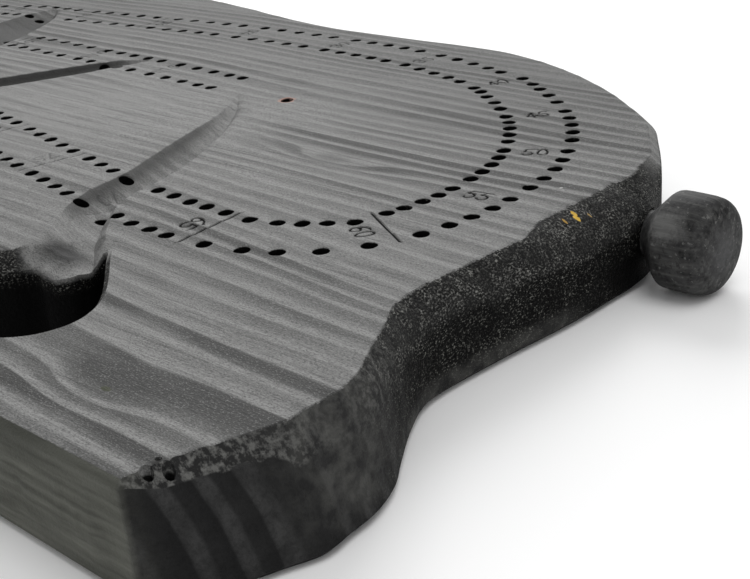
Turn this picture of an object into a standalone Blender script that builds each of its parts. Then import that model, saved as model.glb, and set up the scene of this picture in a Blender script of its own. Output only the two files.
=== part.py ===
"""Cribbage board carved in the outline of a walking bear, with a tail that plugs a store of pegs.

The board lies flat with its nose towards -X and its back towards +Y. The origin is at the
middle of the whole object's footprint, on the surface that the board rests on. Units are metres.
"""
import math

import bmesh
import bpy
from mathutils import Vector

# Board, the driving sizes
board_length = 0.4317
board_height = 0.2185
board_thickness = 0.019
top_edge_chamfer = 0.0042
rump_chamfer_width = 0.0078
back_edge_chamfer = 0.0020
heel_edge_chamfer = 0.0026
belly_edge_chamfer = 0.0032
crisp_edge_chamfer = 0.0010
bottom_edge_chamfer = 0.0014
heel_lean = 0.0037
outline_steps = 2

# Peg holes, 24 groups of five in each of two rows
group_size = 5
hole_diameter = 0.0032
hole_depth = 0.0085
hole_sides = 8
back_row_gap = 0.0124
belly_row_gap = 0.0134
middle_row_gap = 0.0106
start_pitch = 0.0062
start_holes = 2
first_hole_share = 0.125
hole_pitch_share = 0.1875

# Tail, which is turned in one piece with the tenon that plugs the peg store
knob_diameter = 0.0188
knob_length = 0.0156
knob_cone_length = 0.0050
knob_rim_length = 0.0038
knob_face_diameter = 0.0126
knob_face_dome = 0.0006
knob_rim_bulge = 0.0012
knob_face_shares = [(0.0, 0.0), (0.5, 0.25), (1.0, 1.0)]
tenon_diameter = 0.0089
tenon_length = 0.0130
tenon_tip_chamfer = 0.0008
tail_sides = 32

# Peg store, a blind bore along the board's middle thickness
store_diameter = 0.0095
store_slack = 0.0056
store_end_gap = 0.0004
store_sides = 32
store_roof_web = 0.0008

# Pegs, tapered pins with a domed head
peg_count = 6
peg_length = 0.0280
peg_head_diameter = 0.0027
peg_head_length = 0.0030
peg_neck_diameter = 0.0022
peg_tip_diameter = 0.0017
peg_dome_length = 0.0007
peg_spacing = 0.0030
peg_dome_shares = [(0.0, 0.0), (0.7, 0.3), (1.0, 1.0)]
peg_tip_share = 0.5
peg_sides = 12

# Carved grooves: a broad slope towards the head and a short wall towards the tail
haunch_groove_depth = 0.0030
haunch_groove_slope = 0.0084
haunch_groove_wall = 0.0026
foreleg_groove_depth = 0.0038
foreleg_groove_slope = 0.0088
foreleg_groove_wall = 0.0026
shoulder_groove_depth = 0.0036
shoulder_groove_slope = 0.0165
shoulder_groove_wall = 0.0030
mouth_groove_depth = 0.0022
mouth_groove_slope = 0.0024
mouth_groove_wall = 0.0016
groove_steps = 3
eye_diameter = 0.0056
eye_depth = 0.0020
eye_sides = 12

# Fits
part_gap = 0.0003
cut_overrun = 0.0020
weld_distance = 0.000001

# Outline, as shares of the board's length from the nose and of its height from the soles
back_shares = [
    (0.966, 0.610), (0.959, 0.640), (0.948, 0.674), (0.936, 0.708), (0.925, 0.738),
    (0.913, 0.761), (0.895, 0.789), (0.876, 0.817), (0.843, 0.856), (0.810, 0.886),
    (0.781, 0.904), (0.758, 0.911), (0.730, 0.913), (0.690, 0.913), (0.649, 0.914),
    (0.617, 0.916), (0.580, 0.925), (0.541, 0.940), (0.499, 0.959), (0.450, 0.977),
    (0.405, 0.994), (0.380, 1.000),
]
rump_shares = [
    (0.990, 0.047), (0.995, 0.076), (1.000, 0.103), (1.000, 0.127), (1.000, 0.153),
    (0.996, 0.183), (0.988, 0.211), (0.978, 0.249), (0.970, 0.295), (0.971, 0.374),
    (0.974, 0.443), (0.975, 0.486), (0.975, 0.518), (0.975, 0.555), (0.972, 0.584),
]
hind_sole_shares = [(0.829, 0.000), (0.892, 0.000), (0.940, 0.000), (0.981, 0.000)]
hind_paw_shares = [
    (0.821, 0.223), (0.833, 0.204), (0.846, 0.184), (0.858, 0.164), (0.866, 0.146),
    (0.871, 0.127), (0.872, 0.108), (0.868, 0.087), (0.860, 0.072), (0.850, 0.064),
    (0.829, 0.059), (0.805, 0.047), (0.798, 0.024), (0.806, 0.005),
]
belly_shares = [
    (0.521, 0.241), (0.549, 0.248), (0.588, 0.228), (0.630, 0.195), (0.672, 0.163),
    (0.713, 0.138), (0.746, 0.127), (0.769, 0.132), (0.782, 0.144), (0.790, 0.157),
    (0.794, 0.167), (0.798, 0.177), (0.803, 0.178), (0.808, 0.175), (0.815, 0.179),
    (0.820, 0.189), (0.821, 0.200), (0.820, 0.212),
]
front_leg_rear_shares = [(0.489, 0.047), (0.484, 0.102), (0.488, 0.161), (0.500, 0.211)]
front_sole_shares = [(0.306, 0.006), (0.331, 0.000), (0.394, 0.000), (0.450, 0.000), (0.491, 0.000)]
front_leg_shares = [
    (0.329, 0.298), (0.350, 0.239), (0.356, 0.175), (0.350, 0.115), (0.331, 0.076),
    (0.305, 0.054), (0.297, 0.028),
]
head_shares = [
    (0.354, 0.989), (0.315, 0.961), (0.280, 0.937), (0.255, 0.925), (0.241, 0.941),
    (0.227, 0.967), (0.208, 0.976), (0.191, 0.961), (0.183, 0.934), (0.169, 0.914),
    (0.146, 0.886), (0.124, 0.850), (0.105, 0.809), (0.086, 0.778), (0.060, 0.758),
    (0.032, 0.741), (0.014, 0.717), (0.003, 0.685), (0.000, 0.652), (0.003, 0.620),
    (0.015, 0.591), (0.031, 0.566), (0.056, 0.544), (0.088, 0.525), (0.130, 0.509),
    (0.171, 0.484), (0.211, 0.449), (0.246, 0.411), (0.278, 0.367), (0.306, 0.321),
]

# Where each chamfer and the lean of the heel end, as shares of the same sizes
sole_band_share = 0.012
crisp_band_share = 0.300
belly_band_shares = (0.510, 0.8185)
belly_low_share = 0.118
heel_band_share = 0.090
back_band_share = 0.640
rump_band_shares = (0.440, 0.590)
hind_leg_middle_share = 0.900
lean_end_share = 0.260
lean_full_share = 0.110
lean_foot_share = 0.060
blend_reach = 2

# Track, as the middle of each line that ends a group of five, from the start to 120
track_line_shares = [
    (0.244, 0.525), (0.249, 0.671), (0.300, 0.777), (0.378, 0.802), (0.466, 0.822),
    (0.554, 0.837), (0.643, 0.839), (0.722, 0.829), (0.796, 0.793), (0.856, 0.719),
    (0.896, 0.622), (0.915, 0.502), (0.907, 0.382), (0.842, 0.301), (0.771, 0.310),
    (0.696, 0.337), (0.617, 0.368), (0.540, 0.397), (0.461, 0.422), (0.380, 0.445),
    (0.350, 0.573), (0.417, 0.653), (0.500, 0.650), (0.583, 0.643), (0.664, 0.635),
]
# Where the track bends, the middle of the group that follows the line of that number
track_bend_shares = {
    0: (0.240, 0.596), 1: (0.269, 0.732), 2: (0.337, 0.796), 8: (0.827, 0.761),
    9: (0.878, 0.674), 10: (0.909, 0.564), 11: (0.915, 0.442), 12: (0.881, 0.323),
    18: (0.419, 0.427), 19: (0.353, 0.500), 20: (0.378, 0.635),
}
first_belly_group = 8
first_middle_group = 20
game_hole_shares = (0.720, 0.614)

# Grooves, as the line of each valley, and how deep it is there
haunch_groove_shares = [
    (0.819, 0.209, 1.0), (0.811, 0.222, 1.0), (0.802, 0.235, 1.0), (0.793, 0.252, 1.0),
    (0.782, 0.274, 1.0), (0.776, 0.290, 1.0), (0.770, 0.314, 1.0), (0.767, 0.341, 1.0),
    (0.763, 0.372, 1.0), (0.756, 0.404, 1.0), (0.748, 0.436, 0.95),
    (0.739, 0.468, 0.85), (0.729, 0.502, 0.70), (0.719, 0.532, 0.50), (0.705, 0.568, 0.30),
    (0.686, 0.604, 0.12),
]
foreleg_groove_shares = [
    (0.512, 0.239, 0.70), (0.502, 0.289, 0.90), (0.500, 0.358, 1.0), (0.508, 0.427, 1.0),
    (0.520, 0.481, 1.0), (0.532, 0.532, 1.0), (0.543, 0.582, 0.90), (0.552, 0.628, 0.65),
    (0.563, 0.665, 0.15),
]
shoulder_groove_shares = [
    (0.350, 0.239, 0.50), (0.378, 0.321, 0.80), (0.404, 0.395, 1.0), (0.415, 0.477, 1.0),
    (0.415, 0.559, 1.0), (0.408, 0.632, 1.0), (0.394, 0.687, 1.0), (0.374, 0.747, 0.80),
    (0.344, 0.806, 0.20),
]
mouth_groove_shares = [(0.002, 0.605, 1.0), (0.046, 0.626, 1.0), (0.079, 0.632, 0.8), (0.107, 0.655, 0.2)]
eye_shares = (0.139, 0.761)
tail_shares = (0.9745, 0.577)

# Places that follow from the sizes
store_depth = tenon_length + store_slack + peg_length + store_end_gap
tail_overhang = tail_shares[0] * board_length + knob_length - board_length
nose_x = -(board_length + max(tail_overhang, heel_lean)) / 2
sole_y = -board_height / 2
store_z = board_thickness / 2

black_stain = (0.020, 0.020, 0.019, 1.0)
black_knob = (0.014, 0.014, 0.013, 1.0)
brass = (0.72, 0.50, 0.20, 1.0)
steel = (0.60, 0.60, 0.58, 1.0)


def clear_scene():
    """Remove every object that is in the scene."""
    for old in list(bpy.data.objects):
        bpy.data.objects.remove(old, do_unlink=True)


def new_collection(name):
    """Add a collection to the scene."""
    collection = bpy.data.collections.new(name)
    bpy.context.scene.collection.children.link(collection)
    return collection


def new_material(name, colour, roughness, metallic=0.0):
    """Make a plain material."""
    material = bpy.data.materials.new(name)
    material.use_nodes = True
    material.diffuse_color = colour
    shader = material.node_tree.nodes["Principled BSDF"]
    shader.inputs["Base Color"].default_value = colour
    shader.inputs["Roughness"].default_value = roughness
    shader.inputs["Metallic"].default_value = metallic
    return material


def new_object(name, mesh, collection, material=None):
    """Put a mesh in a collection under a name."""
    made = bpy.data.objects.new(name, mesh)
    collection.objects.link(made)
    if material:
        mesh.materials.append(material)
    return made


def place(share_pair):
    """Turn shares of the board's length and height into a place on the plan."""
    return Vector((nose_x + share_pair[0] * board_length, sole_y + share_pair[1] * board_height))


def curve_between(before, start, end, after, share):
    """Return a point on the smooth curve that runs through start and end."""
    leaving = (end - before) / 2
    arriving = (after - start) / 2
    square = share * share
    cube = square * share
    return (
        start * (2 * cube - 3 * square + 1)
        + leaving * (cube - 2 * square + share)
        + end * (3 * square - 2 * cube)
        + arriving * (cube - square)
    )


def smooth_path(points, steps):
    """Run a smooth curve through points and return it as more points."""
    last = len(points) - 1
    path = []
    for index in range(last):
        near = [points[min(max(index + shift, 0), last)] for shift in (-1, 0, 1, 2)]
        for step in range(steps):
            path.append(curve_between(*near, step / steps))
    path.append(points[-1])
    return path


def path_normal(path, index):
    """Return the direction to the left of a path at one of its points."""
    ahead = path[min(index + 1, len(path) - 1)].to_2d()
    behind = path[max(index - 1, 0)].to_2d()
    along = (ahead - behind).normalized()
    return Vector((-along.y, along.x))


def edge_sizes(spot):
    """Return the top chamfer's height and width, and the heel's lean, at a place on the outline."""
    share_x = (spot.x - nose_x) / board_length
    share_y = (spot.y - sole_y) / board_height
    on_belly = belly_band_shares[0] < share_x < belly_band_shares[1]
    height = top_edge_chamfer
    if share_y < sole_band_share:
        height = crisp_edge_chamfer
    elif on_belly and belly_low_share < share_y < crisp_band_share:
        height = belly_edge_chamfer
    elif share_y < crisp_band_share and front_leg_shares[0][0] < share_x < hind_leg_middle_share:
        height = crisp_edge_chamfer
    elif share_y > back_band_share:
        height = back_edge_chamfer
    elif share_y < heel_band_share and share_x > hind_leg_middle_share:
        height = heel_edge_chamfer
    width = height
    if share_x > hind_leg_middle_share and rump_band_shares[0] < share_y < rump_band_shares[1]:
        width = rump_chamfer_width
    lean = 0
    if share_x > hind_leg_middle_share:
        faded = (lean_end_share - share_y) / (lean_end_share - lean_full_share)
        grown = share_y / lean_foot_share
        lean = heel_lean * min(max(faded, 0), 1) * min(max(grown, 0), 1)
    return Vector((height, width, lean))


def inset_loop(outline, widths):
    """Draw a closed outline in by its own width at each point, with mitred corners."""
    drawn = []
    count = len(outline)
    for index, spot in enumerate(outline):
        arriving = (spot - outline[index - 1]).normalized()
        leaving = (outline[(index + 1) % count] - spot).normalized()
        inward = (Vector((-arriving.y, arriving.x)) + Vector((-leaving.y, leaving.x))) / 2
        drawn.append(spot + inward / inward.length_squared * widths[index])
    return drawn


def make_blank(collection, material):
    """Saw the bear out of a plank and rasp its edges, widest beside the tail."""
    lower_shares = front_sole_shares[-1:] + front_leg_rear_shares + belly_shares + hind_paw_shares
    upper_shares = rump_shares + back_shares + head_shares + front_leg_shares + front_sole_shares
    outline = []
    for run in (lower_shares + hind_sole_shares, hind_sole_shares[-1:] + upper_shares):
        outline += smooth_path([place(pair) for pair in run], outline_steps)[:-1]
    count = len(outline)
    sharp_sizes = [edge_sizes(spot) for spot in outline]
    sizes = []
    for index in range(count):
        near = [sharp_sizes[(index + shift) % count] for shift in range(-blend_reach, blend_reach + 1)]
        sizes.append(sum(near, Vector((0, 0, 0))) / len(near))
    base = inset_loop(outline, [bottom_edge_chamfer] * count)
    face = inset_loop(outline, [size.y for size in sizes])
    work = bmesh.new()
    loops = [[], [], [], []]
    for index, spot in enumerate(outline):
        shoulder = board_thickness - sizes[index].x
        lean = sizes[index].z
        loops[0].append(work.verts.new((base[index].x + lean, base[index].y, 0)))
        loops[1].append(work.verts.new((spot.x + lean, spot.y, bottom_edge_chamfer)))
        loops[2].append(work.verts.new((spot.x, spot.y, shoulder)))
        loops[3].append(work.verts.new((face[index].x, face[index].y, board_thickness)))
    for lower, upper in zip(loops, loops[1:]):
        for index in range(count):
            after = (index + 1) % count
            work.faces.new((lower[index], lower[after], upper[after], upper[index]))
    bmesh.ops.triangulate(work, faces=work.faces)
    work.faces.new(loops[0][::-1])
    work.faces.new(loops[3])
    bmesh.ops.recalc_face_normals(work, faces=work.faces)
    mesh = bpy.data.meshes.new("board")
    work.to_mesh(mesh)
    work.free()
    return new_object("board", mesh, collection, material)


def add_prism(work, spot, radius, top, bottom, sides):
    """Add an upright prism to a cutter."""
    made = bmesh.ops.create_cone(
        work, cap_ends=True, segments=sides, radius1=radius, radius2=radius, depth=top - bottom
    )
    shift = Vector((spot.x, spot.y, (top + bottom) / 2))
    bmesh.ops.translate(work, verts=made["verts"], vec=shift)


def track_places():
    """Return the places of both rows of holes, worked out along the track's smooth middle line."""
    middle = []
    for number, pair in enumerate(track_line_shares):
        middle.append((number, place(pair)))
        if number in track_bend_shares:
            middle.append((number + 0.5, place(track_bend_shares[number])))
    numbers = [entry[0] for entry in middle]
    points = [entry[1] for entry in middle]

    def spot_at(number):
        """Return the place on the middle line at a count of groups from the start."""
        last = len(numbers) - 1
        index = max(at for at in range(last) if numbers[at] <= number or at == 0)
        near = [points[min(max(index + shift, 0), last)] for shift in (-1, 0, 1, 2)]
        share = (number - numbers[index]) / (numbers[index + 1] - numbers[index])
        return curve_between(*near, share)

    def side_at(number):
        """Return the direction to the left of the track at a count of groups."""
        nudge = hole_pitch_share / 2
        along = (spot_at(number + nudge) - spot_at(number - nudge)).normalized()
        return Vector((-along.y, along.x))

    places = []
    groups = len(track_line_shares) - 1
    for group in range(groups):
        if group < first_belly_group:
            half_gap = back_row_gap / 2
        elif group < first_middle_group:
            half_gap = belly_row_gap / 2
        else:
            half_gap = middle_row_gap / 2
        for hole in range(group_size):
            number = group + first_hole_share + hole_pitch_share * hole
            centre = spot_at(number)
            side = side_at(number)
            places.append(centre + side * half_gap)
            places.append(centre - side * half_gap)
    start = spot_at(0)
    side = side_at(hole_pitch_share)
    back = Vector((-side.y, side.x))
    for hole in range(start_holes):
        centre = start + back * start_pitch * (hole + 0.5)
        places.append(centre + side * back_row_gap / 2)
        places.append(centre - side * back_row_gap / 2)
    places.append(place(game_hole_shares))
    return places


def hole_floor(spot, store_end):
    """Return the height of a peg hole's floor, kept above the peg store where it passes under."""
    floor = board_thickness - hole_depth
    aside = abs(spot.y - place(tail_shares).y)
    reach = (store_diameter + hole_diameter) / 2 + store_roof_web
    if aside < reach and spot.x > store_end - hole_diameter:
        floor = max(floor, store_z + store_diameter / 2 + store_roof_web)
    return floor


def make_hole_cutter(collection):
    """Make one cutter for every peg hole."""
    store_end = place(tail_shares).x - store_depth
    work = bmesh.new()
    for spot in track_places():
        floor = hole_floor(spot, store_end)
        add_prism(work, spot, hole_diameter / 2, board_thickness + cut_overrun, floor, hole_sides)
    eye_floor = board_thickness - eye_depth
    eye_top = board_thickness + cut_overrun
    add_prism(work, place(eye_shares), eye_diameter / 2, eye_top, eye_floor, eye_sides)
    mesh = bpy.data.meshes.new("peg_holes")
    work.to_mesh(mesh)
    work.free()
    return new_object("peg_holes", mesh, collection)


def make_groove_cutter(name, shares, depth, slope, wall, collection):
    """Make a three-sided cutter along a carved groove."""
    points = []
    for share_x, share_y, depth_share in shares:
        spot = place((share_x, share_y))
        points.append(Vector((spot.x, spot.y, depth_share)))
    path = smooth_path(points, groove_steps)
    work = bmesh.new()
    rings = []
    for index, spot in enumerate(path):
        local_depth = depth * spot.z
        spread = (local_depth + cut_overrun) / depth
        side = path_normal(path, index)
        high = board_thickness + cut_overrun
        slope_lip = spot.to_2d() + side * slope * spread
        wall_lip = spot.to_2d() - side * wall * spread
        ring = [
            work.verts.new((slope_lip.x, slope_lip.y, high)),
            work.verts.new((spot.x, spot.y, board_thickness - local_depth)),
            work.verts.new((wall_lip.x, wall_lip.y, high)),
        ]
        rings.append(ring)
    for near, far in zip(rings, rings[1:]):
        for corner in range(3):
            after = (corner + 1) % 3
            work.faces.new((near[corner], near[after], far[after], far[corner]))
    work.faces.new(rings[0][::-1])
    work.faces.new(rings[-1])
    bmesh.ops.triangulate(work, faces=work.faces)
    bmesh.ops.recalc_face_normals(work, faces=work.faces)
    mesh = bpy.data.meshes.new(name)
    work.to_mesh(mesh)
    work.free()
    return new_object(name, mesh, collection)


def make_store_cutter(collection):
    """Make the cutter for the peg store's bore, which runs out past the rump."""
    length = store_depth + knob_length
    bpy.ops.mesh.primitive_cylinder_add(
        vertices=store_sides, radius=store_diameter / 2, depth=length
    )
    cutter = bpy.context.active_object
    cutter.name = "peg_store"
    for holder in list(cutter.users_collection):
        holder.objects.unlink(cutter)
    collection.objects.link(cutter)
    spot = place(tail_shares)
    cutter.location = (spot.x - store_depth + length / 2, spot.y, store_z)
    cutter.rotation_euler = (0, math.pi / 2, 0)
    return cutter


def cut(target, cutter):
    """Cut one object with another, whose own pieces may overlap, and keep the cutter out of sight."""
    boolean = target.modifiers.new("cut_" + cutter.name, "BOOLEAN")
    boolean.operation = "DIFFERENCE"
    boolean.solver = "EXACT"
    boolean.use_self = True
    boolean.object = cutter
    cutter.hide_render = True
    cutter.display_type = "WIRE"


def make_turned(name, profile, sides, collection, material):
    """Turn a profile of radius and height, written from the top down, round its own Z axis."""
    mesh = bpy.data.meshes.new(name)
    edges = [(index, index + 1) for index in range(len(profile) - 1)]
    mesh.from_pydata([(radius, 0, height) for radius, height in profile], edges, [])
    turned = new_object(name, mesh, collection, material)
    screw = turned.modifiers.new("turning", "SCREW")
    screw.steps = sides
    screw.render_steps = sides
    screw.use_merge_vertices = True
    screw.merge_threshold = weld_distance
    screw.use_smooth_shade = True
    return turned


def make_tail(collection, material):
    """Turn the tail knob and its tenon, and seat them in the rump."""
    knob = knob_diameter / 2
    face = knob_face_diameter / 2
    tenon = tenon_diameter / 2
    rim_middle = (knob + face) / 2 + knob_rim_bulge / 2
    profile = []
    for reach_share, drop_share in knob_face_shares:
        profile.append((face * reach_share, knob_length - knob_face_dome * drop_share))
    profile += [
        (rim_middle, knob_length - knob_rim_length / 2),
        (knob, knob_length - knob_rim_length),
        (knob, knob_cone_length),
        (tenon, part_gap),
        (tenon, tenon_tip_chamfer - tenon_length),
        (tenon - tenon_tip_chamfer, -tenon_length),
        (0, -tenon_length),
    ]
    tail = make_turned("tail_plug", profile, tail_sides, collection, material)
    spot = place(tail_shares)
    tail.location = (spot.x, spot.y, store_z)
    tail.rotation_euler = (0, math.pi / 2, 0)
    return tail


def make_pegs(collection, metals):
    """Turn the pegs and lay them in a ring in the store, heads towards the tail."""
    head = peg_head_diameter / 2
    neck = peg_neck_diameter / 2
    tip = peg_tip_diameter / 2
    profile = []
    for reach_share, drop_share in peg_dome_shares:
        profile.append((head * reach_share, -peg_dome_length * drop_share))
    profile += [
        (head, -peg_head_length),
        (neck, -peg_head_length - peg_dome_length),
        (tip, peg_dome_length - peg_length),
        (tip * peg_tip_share, -peg_length),
        (0, -peg_length),
    ]
    spot = place(tail_shares)
    head_x = spot.x - tenon_length - store_slack
    ring_drop = store_diameter / 2 - part_gap - head - peg_spacing
    for number in range(peg_count):
        angle = math.tau * number / peg_count + math.pi / 2
        metal = metals[number % len(metals)]
        peg = make_turned("peg_" + str(number + 1), profile, peg_sides, collection, metal)
        beside = spot.y + peg_spacing * math.cos(angle)
        above = store_z - ring_drop + peg_spacing * math.sin(angle)
        peg.location = (head_x, beside, above)
        peg.rotation_euler = (0, math.pi / 2, 0)


def main():
    """Build the board, its tail and its pegs."""
    clear_scene()
    parts = new_collection("cribbage_board")
    cutters = new_collection("cutters")
    board = make_blank(parts, new_material("black_stained_pine", black_stain, 0.45))
    haunch = make_groove_cutter(
        "haunch_groove", haunch_groove_shares, haunch_groove_depth, haunch_groove_slope,
        haunch_groove_wall, cutters,
    )
    foreleg = make_groove_cutter(
        "foreleg_groove", foreleg_groove_shares, foreleg_groove_depth, foreleg_groove_slope,
        foreleg_groove_wall, cutters,
    )
    shoulder = make_groove_cutter(
        "shoulder_groove", shoulder_groove_shares, shoulder_groove_depth, shoulder_groove_slope,
        shoulder_groove_wall, cutters,
    )
    mouth = make_groove_cutter(
        "mouth_groove", mouth_groove_shares, mouth_groove_depth, mouth_groove_slope,
        mouth_groove_wall, cutters,
    )
    for cutter in (haunch, foreleg, shoulder, mouth, make_store_cutter(cutters), make_hole_cutter(cutters)):
        cut(board, cutter)
    make_tail(parts, new_material("black_stained_knob", black_knob, 0.5))
    metals = [new_material("brass", brass, 0.25, 1.0), new_material("steel", steel, 0.25, 1.0)]
    make_pegs(parts, metals)


main()
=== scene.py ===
"""Dress the bear-shaped cribbage board: carved top, cut numbers, rasped edges, tail and pegs."""
import math

import bmesh
import bpy
import numpy as np
from mathutils import Matrix, Vector
from mathutils.geometry import delaunay_2d_cdt
from mathutils.kdtree import KDTree


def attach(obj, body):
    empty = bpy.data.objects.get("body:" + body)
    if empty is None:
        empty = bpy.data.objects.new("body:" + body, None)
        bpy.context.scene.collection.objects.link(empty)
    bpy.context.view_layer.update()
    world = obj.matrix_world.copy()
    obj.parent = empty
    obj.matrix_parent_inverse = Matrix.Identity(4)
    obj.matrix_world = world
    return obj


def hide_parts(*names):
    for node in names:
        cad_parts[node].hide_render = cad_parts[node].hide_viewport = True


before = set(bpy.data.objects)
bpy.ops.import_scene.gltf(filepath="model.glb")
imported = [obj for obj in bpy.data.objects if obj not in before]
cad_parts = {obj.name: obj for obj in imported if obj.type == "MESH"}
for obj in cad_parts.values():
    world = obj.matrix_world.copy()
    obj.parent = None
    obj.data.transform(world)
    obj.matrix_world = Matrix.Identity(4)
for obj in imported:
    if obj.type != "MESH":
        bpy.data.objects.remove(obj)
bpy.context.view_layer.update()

# Plan frame: millimetres from the rump towards -X and up from the ground line
RUMP_X = 201.854
GROUND_Y = -111.05
LENGTH = 431.7
HEIGHT = 218.5
NOSE = -420.0
SOLE = 1.8
THICK = 19.0

# Runs of the outline, lines of holes and grooves in thousandths of the body's length and height
BACK = [
    (966, 610), (959, 640), (948, 674), (936, 708), (925, 738), (913, 761), (895, 789), (876, 817),
    (843, 856), (810, 886), (781, 904), (758, 911), (730, 913), (690, 913), (649, 914), (617, 916),
    (580, 925), (541, 940), (499, 959), (450, 977), (405, 994), (380, 1000),
]
RUMP = [
    (990, 47), (995, 76), (1000, 103), (1000, 127), (1000, 153), (996, 183), (988, 211), (978, 249),
    (970, 295), (971, 374), (974, 443), (975, 486), (975, 518), (975, 555), (972, 584),
]
HIND_SOLE = [(829, 0), (892, 0), (940, 0), (981, 0)]
HIND_PAW = [
    (821, 223), (833, 204), (846, 184), (858, 164), (866, 146), (871, 127), (872, 108), (868, 87),
    (860, 72), (850, 64), (829, 59), (805, 47), (798, 24), (806, 5),
]
BELLY = [
    (521, 241), (549, 248), (588, 228), (630, 195), (672, 163), (713, 138), (746, 127), (769, 132),
    (782, 144), (790, 157), (794, 167), (798, 177), (803, 178), (808, 175), (815, 179), (820, 189),
    (821, 200), (820, 212),
]
FRONT_LEG_REAR = [(489, 47), (484, 102), (488, 161), (500, 211)]
FRONT_SOLE = [(306, 6), (331, 0), (394, 0), (450, 0), (491, 0)]
FRONT_LEG = [
    (329, 298), (350, 239), (356, 175), (350, 115), (331, 76), (305, 54), (297, 28),
]
HEAD = [
    (354, 989), (315, 961), (280, 937), (255, 925), (241, 941), (227, 967), (208, 976), (191, 961),
    (183, 934), (169, 914), (146, 886), (124, 850), (105, 809), (86, 778), (60, 758), (32, 741),
    (14, 717), (3, 685), (0, 652), (3, 620), (15, 591), (31, 566), (56, 544), (88, 525), (130, 509),
    (171, 484), (211, 449), (246, 411), (278, 367), (306, 321),
]
LINES = [
    (244, 525), (249, 671), (300, 777), (378, 802), (466, 822), (554, 837), (643, 839), (722, 829),
    (796, 793), (856, 719), (896, 622), (915, 502), (907, 382), (842, 301), (771, 310), (696, 337),
    (617, 368), (540, 397), (461, 422), (380, 445), (350, 573), (417, 653), (500, 650), (583, 643),
    (664, 635),
]
BENDS = {
    0: (240, 596), 1: (269, 732), 2: (337, 796), 8: (827, 761),
    9: (878, 674), 10: (909, 564), 11: (915, 442), 12: (881, 323),
    18: (419, 427), 19: (353, 500), 20: (378, 635),
}
GAME_HOLE = (720, 614)
HAUNCH_GROOVE = [
    (819, 209, 1.0), (811, 222, 1.0), (802, 235, 1.0), (793, 252, 1.0), (782, 274, 1.0), (776, 290, 1.0),
    (770, 314, 1.0), (767, 341, 1.0), (763, 372, 1.0), (756, 404, 1.0), (748, 436, 0.95),
    (739, 468, 0.85), (729, 502, 0.70), (719, 532, 0.50), (705, 568, 0.30), (686, 604, 0.05),
]
FORELEG_GROOVE = [
    (516, 215, 0.60), (512, 239, 0.70), (502, 289, 0.90), (500, 358, 1.0), (508, 427, 1.0),
    (520, 481, 1.0), (532, 532, 1.0), (543, 582, 0.90), (552, 628, 0.65), (563, 665, 0.05),
]
SHOULDER_GROOVE = [
    (340, 215, 0.40), (350, 239, 0.50), (378, 321, 0.80), (404, 395, 1.0), (415, 477, 1.0),
    (415, 559, 1.0), (408, 632, 1.0), (394, 687, 1.0), (374, 747, 1.0), (354, 790, 0.60),
    (340, 820, 0.05),
]
MOUTH_GROOVE = [
    (-10, 601, 1.0), (2, 605, 1.0), (46, 626, 1.0), (79, 632, 0.8),
    (107, 655, 0.1),
]
# The third number of a groove's points is their share of its depth
# Valley line, depth, slope width to its left, wall width to its right, strength of the shade painted on its
# slope, its fading to the valley
GROOVES = [
    (HAUNCH_GROOVE, 3.0, 8.4, 2.6, 0.72, 0.90),
    (FORELEG_GROOVE, 3.8, 8.2, 2.6, 0.94, 0.40),
    (SHOULDER_GROOVE, 3.6, 16.5, 3.0, 0.80, 0.10),
    (MOUTH_GROOVE, 2.2, 2.4, 1.6, 0.90, 0.20),
]
EYE = (139, 761)
TAIL = (974.5, 577)

GROUPS = 24
GROUP = 5
HOLE_R = 1.6
HOLE_DEPTH = 8.5
HOLE_SIDES = 24
# Gaps between the two rows, each up to a group
ROW_GAPS = ((8, 12.4), (20, 13.4), (24, 10.6))
# A group's first hole and the step from hole to hole, as shares of the group
HOLE_START = 0.125
HOLE_STEP = 0.1875
START_STEP = 6.2
STORE_R = 4.75
STORE_DEPTH = 47.0
STORE_SIDES = 48
STORE_COVER = 0.8


def plan(pair):
    """Turn thousandths of the body's length and height into plan millimetres."""
    return (NOSE + pair[0] / 1000 * LENGTH, SOLE + pair[1] / 1000 * HEIGHT)


def to_row(points):
    """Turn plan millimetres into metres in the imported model's frame."""
    points = np.asarray(points, float)
    return (points + (RUMP_X, GROUND_Y, 0.0)) / 1000.0


def between(points, row, t):
    """Return the place past a row of points, t of the way to the next, on a smooth curve through them."""
    last = len(points) - 1
    before, start, end, after = (points[min(max(row + k, 0), last)] for k in (-1, 0, 1, 2))
    leaving, arriving = (end - before) / 2, (after - start) / 2
    return (
        start * (2 * t**3 - 3 * t**2 + 1) + leaving * (t**3 - 2 * t**2 + t)
        + end * (3 * t**2 - 2 * t**3) + arriving * (t**3 - t**2)
    )


def smooth_path(points, steps):
    """Run a smooth curve through points and return it as more points."""
    points = np.asarray(points, float)
    rows = range(len(points) - 1)
    path = [between(points, row, step / steps) for row in rows for step in range(steps)]
    return np.array(path + [points[-1]])


def resample(path, spacing):
    """Return points at an even spacing along a path, its ends among them."""
    steps = np.hypot(*np.diff(path[:, :2], axis=0).T)
    reach = np.concatenate([[0], np.cumsum(steps)])
    count = max(2, int(round(reach[-1] / spacing)) + 1)
    want = np.linspace(0, reach[-1], count)
    return np.stack([np.interp(want, reach, path[:, k]) for k in range(path.shape[1])], 1)


def smoothstep(low, high, value):
    """Rise smoothly from 0 at low to 1 at high."""
    t = np.clip((value - low) / (high - low), 0, 1)
    return t * t * (3 - 2 * t)


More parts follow.
